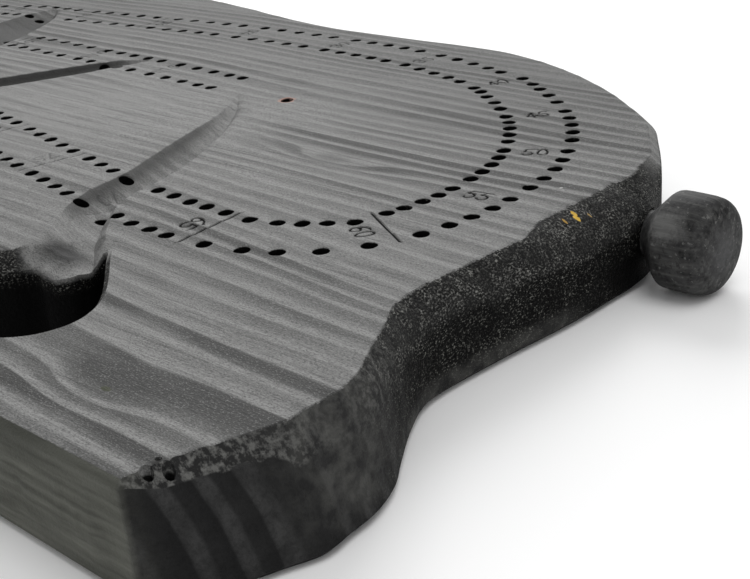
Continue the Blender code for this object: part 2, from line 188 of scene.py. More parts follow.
def value_noise(x, y, seed):
    """Return smooth noise from -1 to 1 with one bump for each unit of x and y."""
    side = 256
    table = np.random.default_rng(seed).uniform(-1, 1, (side, side))
    x, y = np.broadcast_arrays(np.asarray(x, float), np.asarray(y, float))
    column, row = np.floor(x).astype(int), np.floor(y).astype(int)
    right, up = x - column, y - row
    right, up = right * right * (3 - 2 * right), up * up * (3 - 2 * up)

    def level(row):
        before, after = table[column % side, row % side], table[(column + 1) % side, row % side]
        return before * (1 - right) + after * right

    return level(row) * (1 - up) + level(row + 1) * up


def blob(x, y, place, size):
    """Return a soft bump, 1 at its place, that fades over its two sizes."""
    return np.exp(-(((x - place[0]) / size[0]) ** 2 + ((y - place[1]) / size[1]) ** 2))


def bowl(x, y, place, radius):
    """Return a round hollow's share of its depth, 0 past its radius."""
    return np.clip(1 - ((x - place[0]) ** 2 + (y - place[1]) ** 2) / radius**2, 0, 1)


def shares(points):
    """Turn plan millimetres into shares of the body's length and height."""
    return (points[:, 0] - NOSE) / LENGTH, (points[:, 1] - SOLE) / HEIGHT


def plan_tree(points):
    """Return a tree that finds the nearest of some plan points."""
    tree = KDTree(len(points))
    for number, (x, y) in enumerate(points):
        tree.insert((x, y, 0), number)
    tree.balance()
    return tree


# Outline
OUTLINE_STEP = 0.9
ANY = 9.0
REAR = 0.900
LUMP = (0.7985, 0.822, 0.160, 0.213)
# What the edge has, and its zones: low and high share of the length, the same of the height, value there
CHAMFER_HEIGHT = 4.2
CHAMFER_HEIGHTS = [
    (-ANY, ANY, 0.640, ANY, 2.0), (0.329, REAR, -ANY, 0.300, 1.0), (0.510, 0.8185, 0.118, 0.300, 3.2),
    (REAR, ANY, -ANY, 0.090, 2.6), (-ANY, ANY, -ANY, 0.012, 1.0),
]
CHAMFER_WIDTHS = [(REAR, ANY, 0.440, 0.590, 7.8), (REAR, ANY, 0.090, 0.260, 3.0), (*LUMP, 8.5)]
CHAMFER_BEND = 1.12
CHAMFER_BENDS = [(*LUMP, 2.1)]
WORN_EDGES = [(-ANY, ANY, 0.636, ANY, 1.0), (*LUMP, 1.0)]
SOFT_EDGES = [(REAR, ANY, 0.120, 0.620, 2.6)]
HEEL_LEAN = 3.7


def zoned(run, rise, value, zones):
    """Return a value along the outline that is another one inside each zone."""
    values = np.broadcast_to(value, run.shape).astype(float)
    for low, high, bottom, top, inside in zones:
        values[(run > low) & (run < high) & (rise > bottom) & (rise < top)] = inside
    return values


def make_outline():
    """Return the outline, its inward normals, and the sizes that its edges take along it."""
    lower = FRONT_SOLE[-1:] + FRONT_LEG_REAR + BELLY + HIND_PAW + HIND_SOLE
    upper = HIND_SOLE[-1:] + RUMP + BACK + HEAD + FRONT_LEG + FRONT_SOLE
    halves = [smooth_path([plan(pair) for pair in half], 12) for half in (lower, upper)]
    loop = np.concatenate([resample(half, OUTLINE_STEP)[:-1] for half in halves])
    along = np.roll(loop, -1, 0) - np.roll(loop, 1, 0)
    along /= np.hypot(*along.T)[:, None]
    inward = np.stack([-along[:, 1], along[:, 0]], 1)
    run, rise = shares(loop)
    tall = zoned(run, rise, CHAMFER_HEIGHT, CHAMFER_HEIGHTS)
    wide = zoned(run, rise, tall, CHAMFER_WIDTHS)
    bend = zoned(run, rise, CHAMFER_BEND, CHAMFER_BENDS)
    worn = zoned(run, rise, 0.0, WORN_EDGES)
    soft = zoned(run, rise, 0.0, SOFT_EDGES)
    lean = HEEL_LEAN * np.clip((0.26 - rise) / 0.15, 0, 1) * np.clip(rise / 0.06, 0, 1) * (run > REAR)
    blurred = []
    for values, half in ((tall, 2), (wide, 4), (lean, 2), (bend, 3), (worn, 4), (soft, 8)):
        kernel = np.ones(2 * half + 1) / (2 * half + 1)
        wrapped = np.concatenate([values[-half:], values, values[:half]])
        blurred.append(np.convolve(wrapped, kernel, "valid"))
    return loop, inward, *blurred


OUT, INWARD, TALL, WIDE, LEAN, BEND, WORN, SOFT = make_outline()
OUT_REACH = np.concatenate([[0], np.cumsum(np.hypot(*np.diff(OUT, axis=0).T))])
OUT_TREE = plan_tree(OUT)


def at_place(values, place):
    """Return an outline value between its rows."""
    return np.interp(place, np.arange(len(values) + 1), np.append(values, values[0]))


def reach_at(place):
    """Return the way along the outline to a place between its rows."""
    return np.interp(place, np.arange(len(OUT)), OUT_REACH)


def nearest_edge(points):
    """Return each point's distance to the outline, the place there as a row number, and the side."""
    count = len(OUT)
    near = np.array([OUT_TREE.find((x, y, 0))[1] for x, y in points], int)
    found = []
    for first in (near - 1, near):
        start = OUT[first % count]
        span = OUT[(first + 1) % count] - start
        gap = points - start
        t = np.clip((gap * span).sum(1) / (span**2).sum(1), 0, 1)
        off = gap - t[:, None] * span
        far = np.hypot(*off.T)
        corner = (first + (t > 0.5)) % count
        beside = span[:, 0] * gap[:, 1] - span[:, 1] * gap[:, 0]
        side = np.sign(np.where((t > 0) & (t < 1), beside, (off * INWARD[corner]).sum(1)))
        found.append((far, (first % count) + t, side))
    pick = found[1][0] < found[0][0]
    return tuple(np.where(pick, after, before) for before, after in zip(*found))


def nearest_on(points, path):
    """Return each point's distance to a path, the place there as a row number, and the side."""
    starts = path[:-1, :2]
    span = path[1:, :2] - starts
    size = (span**2).sum(1) + 1e-12
    distance, place, side = np.empty((3, len(points)))
    chunk = 4000
    for begin in range(0, len(points), chunk):
        some = slice(begin, begin + chunk)
        gap = points[some][:, None, :] - starts[None]
        t = np.clip((gap * span).sum(2) / size, 0, 1)
        far = ((gap - t[:, :, None] * span) ** 2).sum(2)
        best = far.argmin(1)
        rows = np.arange(len(best))
        distance[some] = np.sqrt(far[rows, best])
        place[some] = best + t[rows, best]
        cross = span[best, 0] * gap[rows, best, 1] - span[best, 1] * gap[rows, best, 0]
        side[some] = np.sign(cross)
    return distance, place, side


# Track
def make_track():
    """Return the holes' places, and each group line's middle, side direction and number."""
    middle = []
    for number, pair in enumerate(LINES):
        middle.append((number, plan(pair)))
        if number in BENDS:
            middle.append((number + 0.5, plan(BENDS[number])))
    numbers = [entry[0] for entry in middle]
    points = np.array([entry[1] for entry in middle])

    def spot_at(number):
        rows = range(len(numbers) - 1)
        row = max(row for row in rows if numbers[row] <= number or row == 0)
        return between(points, row, (number - numbers[row]) / (numbers[row + 1] - numbers[row]))

    def side_at(number):
        along = spot_at(number + HOLE_STEP / 2) - spot_at(number - HOLE_STEP / 2)
        along /= np.hypot(*along)
        return np.array([-along[1], along[0]])

    holes, lines = [], []
    for group in range(GROUPS):
        gap = next(size for end, size in ROW_GAPS if group < end)
        for hole in range(GROUP):
            number = group + HOLE_START + HOLE_STEP * hole
            for sign in (1, -1):
                holes.append(spot_at(number) + sign * side_at(number) * gap / 2)
        if group:
            lines.append((spot_at(group), side_at(group), group * GROUP))
    side = side_at(HOLE_STEP)
    back = np.array([-side[1], side[0]])
    for hole in range(2):
        for sign in (1, -1):
            holes.append(spot_at(0) + back * START_STEP * (hole + 0.5) + sign * side * ROW_GAPS[0][1] / 2)
    lines.append((spot_at(0), side, 0))
    lines.append((spot_at(GROUPS), side_at(GROUPS - 0.1), GROUPS * GROUP))
    holes.append(np.array(plan(GAME_HOLE)))
    return np.array(holes), lines


HOLES, TRACK_LINES = make_track()
# Holes drilled a little off the line
STRAY_HOLES = [
    (-36.4, 65.9), (-30.1, 70.5), (-24.8, 77.2), (-47.1, 75.9), (-42.7, 78.1), (-39.0, 80.9),
    (-34.9, 84.1), (-71.6, 60.7), (-65.9, 60.6), (-60.6, 60.4), (-50.8, 61.3), (-42.6, 63.1),
    (-76.7, 75.2), (-70.9, 74.6), (-65.7, 74.5), (-59.8, 74.3), (-52.8, 74.2), (-108.7, 136.5),
]
for stray in STRAY_HOLES:
    nearest = np.hypot(*(HOLES - stray).T).argmin()
    HOLES[nearest] = stray


def arc(x, y, wide, tall, start, end, count=9):
    """Return points along part of an ellipse, angles in degrees."""
    turn = np.radians(np.linspace(start, end, count))
    return [(x + wide * math.cos(angle), y + tall * math.sin(angle)) for angle in turn]


DIGITS = {
    "0": [arc(0.30, 0.50, 0.26, 0.47, 90, 450, 17)],
    "1": [[(0.10, 0.78), (0.33, 0.97), (0.33, 0.03)]],
    "2": [arc(0.30, 0.70, 0.25, 0.27, 170, -20) + [(0.45, 0.45), (0.06, 0.03), (0.57, 0.03)]],
    "3": [arc(0.27, 0.73, 0.24, 0.24, 150, -90), arc(0.27, 0.27, 0.27, 0.25, 90, -150)],
    "4": [[(0.44, 0.03), (0.44, 0.97), (0.04, 0.30), (0.60, 0.30)]],
    "5": [[(0.53, 0.97), (0.13, 0.97), (0.09, 0.56)] + arc(0.28, 0.31, 0.27, 0.28, 120, -145)],
    "6": [
        arc(0.30, 0.29, 0.25, 0.26, 90, 450, 15),
        [(0.48, 0.95), (0.24, 0.78), (0.09, 0.50), (0.05, 0.30)],
    ],
    "7": [[(0.04, 0.97), (0.57, 0.97), (0.22, 0.03)]],
    "8": [arc(0.30, 0.73, 0.21, 0.23, 90, 450, 15), arc(0.30, 0.26, 0.25, 0.24, 90, 450, 15)],
    "9": [
        arc(0.30, 0.71, 0.25, 0.26, 90, 450, 15),
        [(0.12, 0.05), (0.36, 0.22), (0.51, 0.50), (0.55, 0.70)],
    ],
}


# How strongly group lines and numbers were cut, by number, and how strongly the rest of them
STRONG_LINES = {60: 1.0, 65: 1.0, 70: 0.20, 75: 0.45, 80: 0.6, 0: 0.8, 20: 0.6, 90: 0.6, 105: 0.5}
FAINT = 0.06
STRONG_NUMBERS = {
    60: 1.0, 65: 1.0, 70: 0.35, 75: 0.40, 115: 0.5, 120: 0.06,
    40: 0.9, 45: 0.9, 50: 1.0, 55: 1.0,
}
PLAIN = 0.65
# Half a line's length, up to a number
LINE_HALVES = ((95, 8.0), (125, 6.6))
DIGIT_SIZE = 3.9
DIGIT_STEP = 2.95
DIGIT_GAP = 4.4
STROKE_HALF = 0.40


def make_strokes():
    """Return the cut numbers and group lines as runs of plan points, each with its strength."""
    strokes = []
    for middle, side, number in TRACK_LINES:
        travel = np.array([side[1], -side[0]])
        half = next(size for end, size in LINE_HALVES if number < end)
        line = np.array([middle - side * half, middle + side * half])
        strokes.append((line, STRONG_LINES.get(number, FAINT)))
        if number == 0:
            continue
        text = str(number)
        centre = middle + travel * DIGIT_GAP
        for place, digit in enumerate(text):
            shift = (place - (len(text) - 1) / 2) * DIGIT_STEP - 0.3 * DIGIT_SIZE
            for run in DIGITS[digit]:
                run = np.array(run)
                spots = centre + np.outer(shift + run[:, 0] * DIGIT_SIZE, side)
                spots = spots + np.outer((run[:, 1] - 0.5) * DIGIT_SIZE, -travel)
                strokes.append((spots, STRONG_NUMBERS.get(number, PLAIN)))
    return strokes


STROKES = make_strokes()

# Height of the carved top
GROOVE_PATHS = []
for rows, *sizes in GROOVES:
    path = smooth_path([(*plan(row[:2]), row[2]) for row in rows], 6)
    GROOVE_PATHS.append((path, *sizes))

# Chips out of the edge: place on the plan, half length along the edge, depth
NOTCHES = [
    ((9.6, 14.5), 1.3, 0.5), ((10.6, 19.0), 1.1, 0.8), ((11.7, 24.8), 1.9, 1.1), ((11.7, 31.0), 1.2, 0.5),
    ((10.0, 39.0), 1.8, 0.6), ((7.0, 48.0), 1.2, 0.5), ((0.4, 60.0), 1.6, 0.5), ((-1.0, 86.0), 1.4, 0.4),
]
# Pits: place on the plan, radius, depth
PITS = [((3.5, 6.2), 0.85, 2.6), ((4.7, 8.7), 0.80, 2.4), ((3.0, 8.6), 0.45, 1.2)]
# Round hollows: place on the plan, radius, depth
HOLLOWS = [((-74.6, 48.8), 3.4, 0.8), (plan(EYE), 2.8, 1.8)]
# Darker patches on the top, the first over the hollow on the lump and the second painted shade where the
# haunch groove ends: place on the plan, half length, half width, strength
DARK_PATCHES = [
    ((-74.0, 46.8), (4.2, 3.4), 1.0), ((-113.8, 124.0), (4.5, 3.0), 0.22),
    ((-85.8, 109.8), (10.0, 1.6), 0.26), ((-67.0, 109.2), (4.5, 2.2), 0.26),
    ((-102.0, 99.3), (5.0, 2.2), 0.22),
]
# Calm grain, and livelier grain below 0: place on the plan, half length and half width, strength
CALMS = [
    ((-148, 104), (62, 36), 1.0), ((-78, 92), (26, 9), 0.8), ((-15, 86), (34, 15), 0.5),
    ((-40, 133), (62, 26), -0.8), ((-30, 35), (35, 22), -0.2),
]
# Least and most way in from a groove's lip that is kept, and the way round a groove that is looked at
LIP_FAR = -2.0
LIP_DEEP = 4.0
GROOVE_MARGIN = 20
# Height on the plan over which the shade painted in the haunch groove begins
HAUNCH_SHADE_START = (54.0, 62.0)
STROKE_DEPTH = 0.36
STROKE_MARGIN = 1.2
RIM_WIDTH = 0.22
RIM_DEPTH = 0.07


def chamfer(points):
    """Return how far the edge's chamfer falls at each point, and the way across it."""
    distance, place, _ = nearest_edge(points)
    tall, wide, bend = at_place(TALL, place), at_place(WIDE, place), at_place(BEND, place)
    reach = reach_at(place)
    t = np.clip(distance / wide, 0, 1)
    drop = tall * (1 - t) ** bend + at_place(SOFT, place) * (1 - t) ** 7
    rough = smoothstep(1.5, 4.0, tall) * (1 - at_place(WORN, place))
    facets = value_noise(reach / 6.0, t * 1.4, 3) * 0.36 + value_noise(reach / 2.1, t * 2.0, 4) * 0.22
    drop = drop + rough * facets * np.sin(np.pi * t) * 1.3
    for spot, half, depth in NOTCHES:
        at = reach_at(nearest_edge(np.array([spot]))[1][0])
        bump = np.clip(1 - ((reach - at) / half) ** 2, 0, 1) ** 0.6
        drop = drop + depth * bump * (1 - t)
    return drop, distance / wide


def near_path(points, path, margin):
    """Return the row numbers of the points in a box round a path."""
    low, high = path[:, :2].min(0) - margin, path[:, :2].max(0) + margin
    return np.flatnonzero(((points > low) & (points < high)).all(1))


def groove_at(points, groove):
    """Return a groove's depth at each point, the shade painted on its slope, and the way in from its lip."""
    path, depth, slope, wall, shade, fade = groove
    off, at, side = nearest_on(points, path)
    share = np.interp(at, np.arange(len(path)), path[:, 2])
    width = np.where(side > 0, slope * np.maximum(share, 0.02), wall * np.maximum(share, 0.02) ** 0.4)
    t = np.clip(off / width, 0, 1)
    cut = depth * share * np.where(side > 0, 1 - t**1.5, (1 - t) ** 1.2)
    worn = 0.10 * value_noise(at / 3.0, t * 2.0, 8) * np.sin(np.pi * t) * share
    steep = np.where(side > 0, smoothstep(0.25, 0.90, t), 0.0)
    start = smoothstep(*HAUNCH_SHADE_START, points[:, 1]) if path is GROOVE_PATHS[0][0] else 1.0
    # Painted shade on the groove's slope, strongest at the lip
    groove_painted_shade = shade * start * smoothstep(0.15, 0.80, share) * (1 - fade * (1 - steep))
    return cut + worn, groove_painted_shade, np.clip(width - off, LIP_FAR, LIP_DEEP)


def top_height(points):
    """Return the carved top's height, the shade painted in the grooves, the way in from a groove's lip, and
    across the rim.
    """
    x, y = points[:, 0], points[:, 1]
    drop, rim = chamfer(points)
    z = THICK - drop
    for place, radius, depth in PITS:
        z = z - depth * bowl(x, y, place, radius) ** 0.6
    for place, radius, depth in HOLLOWS:
        z = z - depth * bowl(x, y, place, radius)
    groove_shade_amount, lip = np.zeros(len(points)), np.full(len(points), LIP_FAR)
    for groove in GROOVE_PATHS:
        near = near_path(points, groove[0], GROOVE_MARGIN)
        if len(near):
            cut, groove_painted_shade, inside = groove_at(points[near], groove)
            z[near] -= cut
            groove_shade_amount[near] = np.where(inside > lip[near], groove_painted_shade, groove_shade_amount[near])
            lip[near] = np.maximum(lip[near], inside)
    return z, groove_shade_amount, lip, rim


def stroke_depth(points):
    """Return how far into a cut stroke each point is, and how strongly that stroke was cut."""
    depth, weight = np.zeros(len(points)), np.zeros(len(points))
    for run, strength in STROKES:
        near = near_path(points, run, STROKE_MARGIN)
        if len(near):
            off, _, _ = nearest_on(points[near], run)
            into = 1 - off / STROKE_HALF
            closer = (into > depth[near]) | ((off < 1.0) & (weight[near] == 0))
            weight[near] = np.where(closer, strength, weight[near])
            depth[near] = np.maximum(depth[near], np.clip(into, 0, 1))
    for place, radius, _ in PITS:
        off = np.hypot(*(points - place).T)
        weight = np.where(off < radius * 1.5, 1.0, weight)
        depth = np.maximum(depth, smoothstep(radius, radius * 0.7, off))
    return depth, weight


# Pith of the log, away from the ground line and below the board, its slant, and the rings' width
PITH = (-45, -4)
SLANT = 0.022
RING_WIDTH = 4.4
# Knots that bend the grain: place on the plan, half sizes, how far they push it
KNOTS = [((-66, 108), (16, 3.4), 5.5), ((-20, 17), (9, 5.5), 6.0)]


def ring_at(points):
    """Return the count of growth rings at points in plan millimetres."""
    x, y, z = points.T
    wander = value_noise(x / 95.0, y / 40.0, 21) * 3.2 + value_noise(x / 33.0, y / 11.0, 22) * 0.7
    across = y - PITH[0] + wander
    for place, size, push in KNOTS:
        across = across + push * blob(x, y, place, size)
    radius = np.hypot(across + x * SLANT, z - PITH[1])
    warp = value_noise(radius / 13.0, x / 160.0, 23) * 1.9 + value_noise(radius / 6.1, x / 240.0, 24) * 0.9
    return (radius + warp) / RING_WIDTH + 3.5 * np.exp((45 - radius) / 30)


GRAIN_DEPTH = 0.11
FIBRE_DEPTH = 0.05


def grain_relief(ring, x, y):
    """Return the brushed grain's relief, hard late wood standing proud of the soft."""
    phase = ring - np.floor(ring)
    ridge = smoothstep(0.45, 0.86, phase) * (1 - smoothstep(0.90, 1.0, phase))
    return (ridge - 0.4) * GRAIN_DEPTH + value_noise(x / 9.0, y / 1.7, 31) * FIBRE_DEPTH


# Meshes
def triangulate(points, edges, border, reach):
    """Join plan points into triangles that keep to some edges, and drop those outside a border."""
    result = delaunay_2d_cdt([Vector(point) for point in points], edges, [], 0, 1e-6, False)
    verts = np.array([tuple(vert) for vert in result[0]])
    faces = np.array(result[2])
    tree = plan_tree(border)
    on_border = np.array([tree.find((x, y, 0))[2] < 0.001 for x, y in verts])
    corners = verts[faces]
    longest = np.hypot(*np.moveaxis(corners - np.roll(corners, 1, 1), 2, 0)).max(1)
    doubtful = np.flatnonzero(on_border[faces].all(1) | (longest > reach))
    middle = verts[faces[doubtful]].mean(1)
    crossings = np.zeros(len(middle), int)
    for start, end in zip(border, np.roll(border, -1, 0)):
        spans = (start[1] > middle[:, 1]) != (end[1] > middle[:, 1])
        rise = end[1] - start[1] if end[1] != start[1] else 1.0
        at = start[0] + (middle[:, 1] - start[1]) * (end[0] - start[0]) / rise
        crossings += spans & (middle[:, 0] < at)
    faces = np.delete(faces, doubtful[crossings % 2 == 0], 0)
    return verts, faces


def weld(parts, name, sharp):
    """Weld surfaces, each its vertices in plan millimetres and its faces, into one mesh in metres."""
    corners, count = [], 0
    for verts, faces in parts:
        corners += [tuple(int(corner) + count for corner in face) for face in faces]
        count += len(verts)
    mesh = bpy.data.meshes.new(name)
    mesh.from_pydata(to_row(np.concatenate([verts for verts, _ in parts])).tolist(), [], corners)
    work = bmesh.new()
    work.from_mesh(mesh)
    bmesh.ops.remove_doubles(work, verts=work.verts, dist=2e-6)
    bmesh.ops.dissolve_degenerate(work, edges=work.edges, dist=1e-6)
    bmesh.ops.recalc_face_normals(work, faces=work.faces)
    work.to_mesh(mesh)
    work.free()
    mesh.shade_smooth()
    mesh.set_sharp_from_angle(angle=math.radians(sharp))
    return mesh


def ring_points(centre, radius, count):
    """Return points round a circle."""
    turn = np.linspace(0, 2 * np.pi, count, endpoint=False)
    return np.stack([centre[0] + radius * np.cos(turn), centre[1] + radius * np.sin(turn)], 1)


def tube_faces(rows, sides, closed=False):
    """Return the faces between rings of vertices, and round one more vertex that closes the last."""
    faces = []
    for row in range(rows - 1):
        for k in range(sides):
            low, high, after = row * sides, (row + 1) * sides, (k + 1) % sides
            faces.append((low + k, low + after, high + after, high + k))
    start = (rows - 1) * sides
    if closed:
        faces += [(start + k, start + (k + 1) % sides, start + sides) for k in range(sides)]
    return faces


def round_edges(start, count):
    """Return the edges of a closed ring of vertices."""
    return [(start + k, start + (k + 1) % count) for k in range(count)]


def sideways(line, least=0.0):
    """Return the direction to the left at each point of a line."""
    along = np.gradient(line[:, :2], axis=0)
    along /= np.hypot(*along.T)[:, None] + least
    return np.stack([-along[:, 1], along[:, 0]], 1)


def thin_out(points, kept, reach):
    """Drop the points that lie within reach of a kept one, by small cells."""
    cells = set()
    for x, y in kept:
        column, row = int(x // reach), int(y // reach)
        cells.update((column + right, row + up) for right in (-1, 0, 1) for up in (-1, 0, 1))
    free = [(int(x // reach), int(y // reach)) not in cells for x, y in points]
    return points[np.array(free, bool)]


def hole_gap(points):
    """Return each point's squared distance to the nearest peg hole's middle."""
    best = np.full(len(points), 1e9)
    for centre in HOLES:
        best = np.minimum(best, ((points - centre) ** 2).sum(1))
    return best


def clear_of_holes(points, gap):
    """Drop the points in the peg holes and within a gap of them."""
    return points[hole_gap(points) > (HOLE_R + gap) ** 2]


def clear_of_edge(points, reach):
    """Drop the points outside the outline and within reach of it."""
    distance, _, side = nearest_edge(points)
    return points[(side > 0) & (distance > reach)]


# Spacing of the top's points, along strokes, along grooves and between, and how unevenly they lie
STROKE_SPACING = 0.32
GROOVE_SPACING = 0.8
GRID = (1.25, 1.1)
GRID_SHIFT = 0.6
GRID_JITTER = 0.12


def top_grid():
    """Return evenly spread points for the top, in staggered rows."""
    x, y = np.meshgrid(np.arange(NOSE - 1, 14, GRID[0]), np.arange(SOLE - 1, SOLE + HEIGHT + 1, GRID[1]))
    x = x + (np.arange(len(y)) % 2)[:, None] * GRID_SHIFT
    jitter = np.random.default_rng(5).uniform(-GRID_JITTER, GRID_JITTER, (2, *x.shape))
    return np.stack([(x + jitter[0]).ravel(), (y + jitter[1]).ravel()], 1)


def fine_points():
    """Return the points that the hole rims, the pits and the cut strokes need."""
    fine = [np.concatenate([ring_points(centre, HOLE_R + RIM_WIDTH, HOLE_SIDES) for centre in HOLES])]
    for place, radius, _ in PITS:
        fine += [ring_points(place, radius * share, 12) for share in (0.15, 0.45, 0.7, 0.9, 1.1)]
    for run, _ in STROKES:
        line = resample(run, STROKE_SPACING)
        across = sideways(line, 1e-9) * STROKE_HALF
        fine += [line, line + across, line - across]
    return np.concatenate(fine)


def lip_points():
    """Return the points that the grooves' slopes and the edge's chamfer need."""
    lips = []
    for path, _, slope, wall, *_ in GROOVE_PATHS:
        line = resample(path, GROOVE_SPACING)
        across = sideways(line)
        for off in (0, slope * 0.5, slope * 0.8, slope, slope + 0.7, -wall * 0.5, -wall, -wall - 0.7):
            lips.append(line[:, :2] + across * off * line[:, 2:3])
    for t in (0.05, 0.1, 0.18, 0.28, 0.45, 0.65, 0.85, 1.0, 1.15):
        lips.append(OUT + INWARD * (WIDE * t)[:, None])
    return np.concatenate(lips)


def top_surface():
    """Return the carved top with its numbers and the peg holes left open."""
    rings = [ring_points(centre, HOLE_R, HOLE_SIDES) for centre in HOLES]
    edges = round_edges(0, len(OUT))
    for number in range(len(HOLES)):
        edges += round_edges(len(OUT) + number * HOLE_SIDES, HOLE_SIDES)
    fine = clear_of_holes(fine_points(), 0.15)
    lips = clear_of_edge(thin_out(clear_of_holes(lip_points(), 0.5), fine, 0.35), 0.22)
    grid = clear_of_edge(clear_of_holes(top_grid(), 0.7), 0.5)
    grid = thin_out(thin_out(grid, fine, 0.5), lips, 0.45)
    points, faces = triangulate(np.concatenate([OUT, *rings, fine, lips, grid]), edges, OUT, 2.5)
    faces = faces[hole_gap(points[faces].mean(1)) > (HOLE_R * 0.985) ** 2]
    return np.column_stack([points, top_z(points)]), faces


def top_z(points):
    """Return the top's finished height: carving, strokes, grain and hole rims."""
    z, groove_shade_amount, _, _ = top_height(points)
    distance = nearest_edge(points)[0]
    depth, weight = stroke_depth(points)
    off = np.sqrt(hole_gap(points)) - HOLE_R
    rim = np.clip(1 - off / RIM_WIDTH, 0, 1) * (off > -0.01)
    x, y = points.T
    ring = ring_at(np.column_stack([points, z]))
    calm = smoothstep(0.0, 3.0, distance) * (1 - 0.7 * np.minimum(groove_shade_amount, 1))
    z = z + grain_relief(ring, x, y) * calm
    z = z + value_noise(x / 55.0, y / 38.0, 41) * 0.18 * calm
    return z - STROKE_DEPTH * depth * weight - RIM_DEPTH * rim


def hole_surfaces():
    """Return the walls and floors of the peg holes, shallower over the peg store."""
    tail_x, tail_y = plan(TAIL)
    holes = []
    for centre in HOLES:
        floor = THICK - HOLE_DEPTH
        over_store = abs(centre[1] - tail_y) < STORE_R + HOLE_R + STORE_COVER
        if over_store and centre[0] > tail_x - STORE_DEPTH - 2 * HOLE_R:
            floor = max(floor, THICK / 2 + STORE_R + STORE_COVER)
        rim = ring_points(centre, HOLE_R, HOLE_SIDES)
        top = np.column_stack([rim, top_z(rim)])
        low = np.column_stack([rim, np.full(HOLE_SIDES, floor + 0.5)])
        rings = [top, top - (0, 0, 0.25), top - (0, 0, 0.9), low, [(*centre, floor)]]
        holes.append((np.concatenate(rings), tube_faces(4, HOLE_SIDES, True)))
    return holes


# Rows down the sides, bevel of the underside, half the patch by the tail, and where sawing starts past it
WALL_ROWS = 13
UNDER_BEVEL = 1.4
PATCH_HALF = 6.4
SMOOTH_BY_TAIL = (7.0, 10.0)


def side_rows():
    """Return rows of points round the sawn sides, from the top's rim down to the underside."""
    top = top_z(OUT)
    near_tail = np.hypot(*(OUT - plan(TAIL)).T)
    rows = []
    for row in range(WALL_ROWS):
        t = row / (WALL_ROWS - 1)
        z = top + (UNDER_BEVEL - top) * t
        saw = value_noise(OUT_REACH / 1.7, z / 9.0, 51) * 0.16
        saw = saw + value_noise(OUT_REACH / 8.0, z / 5.0, 52) * 0.30
        saw = saw * math.sin(math.pi * t) ** 0.5 if 0 < t < 1 else saw * 0
        spot = OUT - INWARD * (saw * smoothstep(*SMOOTH_BY_TAIL, near_tail))[:, None]
        spot[:, 0] += LEAN * t
        rows.append(np.column_stack([spot, z]))
    base = OUT + INWARD * UNDER_BEVEL
    base[:, 0] += LEAN
    rows.append(np.column_stack([base, np.zeros(len(OUT))]))
    return rows


def side_surfaces():
    """Return the sawn sides, the peg store that comes out in them, and the underside."""
    rows = side_rows()
    count = len(OUT)
    near = np.flatnonzero((np.abs(OUT[:, 1] - plan(TAIL)[1]) < PATCH_HALF) & (OUT[:, 0] > -12))
    first, last = near.min(), near.max()
    walls = [
        face for number, face in enumerate(tube_faces(len(rows), count))
        if number // count == WALL_ROWS - 1 or not first <= number % count < last
    ]
    columns = np.arange(first, last + 1)
    store = store_surfaces(np.concatenate([row[columns] for row in rows[:-1]]), columns)
    return [(np.concatenate(rows), walls), *store, underside(rows[-1][:, :2])]


def store_surfaces(patch, columns):
    """Return the patch of the side round the peg store's mouth, and its bore."""
    tail_x, tail_y = plan(TAIL)
    axis = (tail_y, THICK / 2)
    grid = np.arange(len(patch)).reshape(WALL_ROWS, -1)
    border = [*grid[0], *grid[1:, -1], *grid[-1, -2::-1], *grid[-2:0:-1, 0]]
    mouth = ring_points(axis, STORE_R, STORE_SIDES)
    flat = patch[:, 1:3]
    keep = np.hypot(*(flat - axis).T) > STORE_R + 0.35
    keep[border] = True
    order = np.flatnonzero(keep)
    renumber = {old: new for new, old in enumerate(order)}
    edges = [(renumber[start], renumber[end]) for start, end in zip(border, border[1:] + border[:1])]
    edges += round_edges(len(order), STORE_SIDES)
    points, faces = triangulate(np.concatenate([flat[order], mouth]), edges, flat[border], 3.0)
    faces = faces[np.hypot(*(points[faces].mean(1) - axis).T) > STORE_R * 0.99]
    line = OUT[columns]
    line = line[np.argsort(line[:, 1])]
    around = np.column_stack([np.interp(points[:, 0], line[:, 1], line[:, 0]), points])
    rings = [np.column_stack([np.interp(mouth[:, 0], line[:, 1], line[:, 0]), mouth])]
    for depth in (4, 12, 24, 36, STORE_DEPTH - 1.5):
        rings.append(np.column_stack([np.full(STORE_SIDES, tail_x - depth), mouth]))
    bore = np.concatenate([*rings, [(tail_x - STORE_DEPTH, *axis)]])
    return (around, faces), (bore, tube_faces(len(rings), STORE_SIDES, True))


def underside(base):
    """Return the flat underside inside its edge."""
    x, y = np.meshgrid(np.arange(NOSE, 16, 6.0), np.arange(-2, SOLE + HEIGHT, 6.0))
    inner = clear_of_edge(np.stack([x.ravel(), y.ravel()], 1), 3.5)
    points, faces = triangulate(np.concatenate([base, inner]), round_edges(0, len(base)), base, 3.0)
    return np.column_stack([points, np.zeros(len(points))]), faces


def vertex_rows(mesh, name):
    """Return a property of the vertices as rows of three numbers."""
    values = np.empty(len(mesh.vertices) * 3)
    mesh.vertices.foreach_get(name, values)
    return values.reshape(-1, 3)


def link(name, data):
    """Put a new object with this data in the scene."""
    thing = bpy.data.objects.new(name, data)
    bpy.context.scene.collection.objects.link(thing)
    return thing


# Gap between belly and hind leg, where shade is painted on the sides, in shares as above, and the part of
# the belly's fold that is rubbed
GAP_SHADE = (0.49, 0.875, 0.03, 0.262, 1.0)
RUBBED = ((-71.5, 47.0), (10.5, 8.5))
# Height on the plan of the painted shade beside the tail and of the scuffed toe, each with its half size
TAIL_SHADE = (120, 11)
SCUFFED = (33, 9.5)


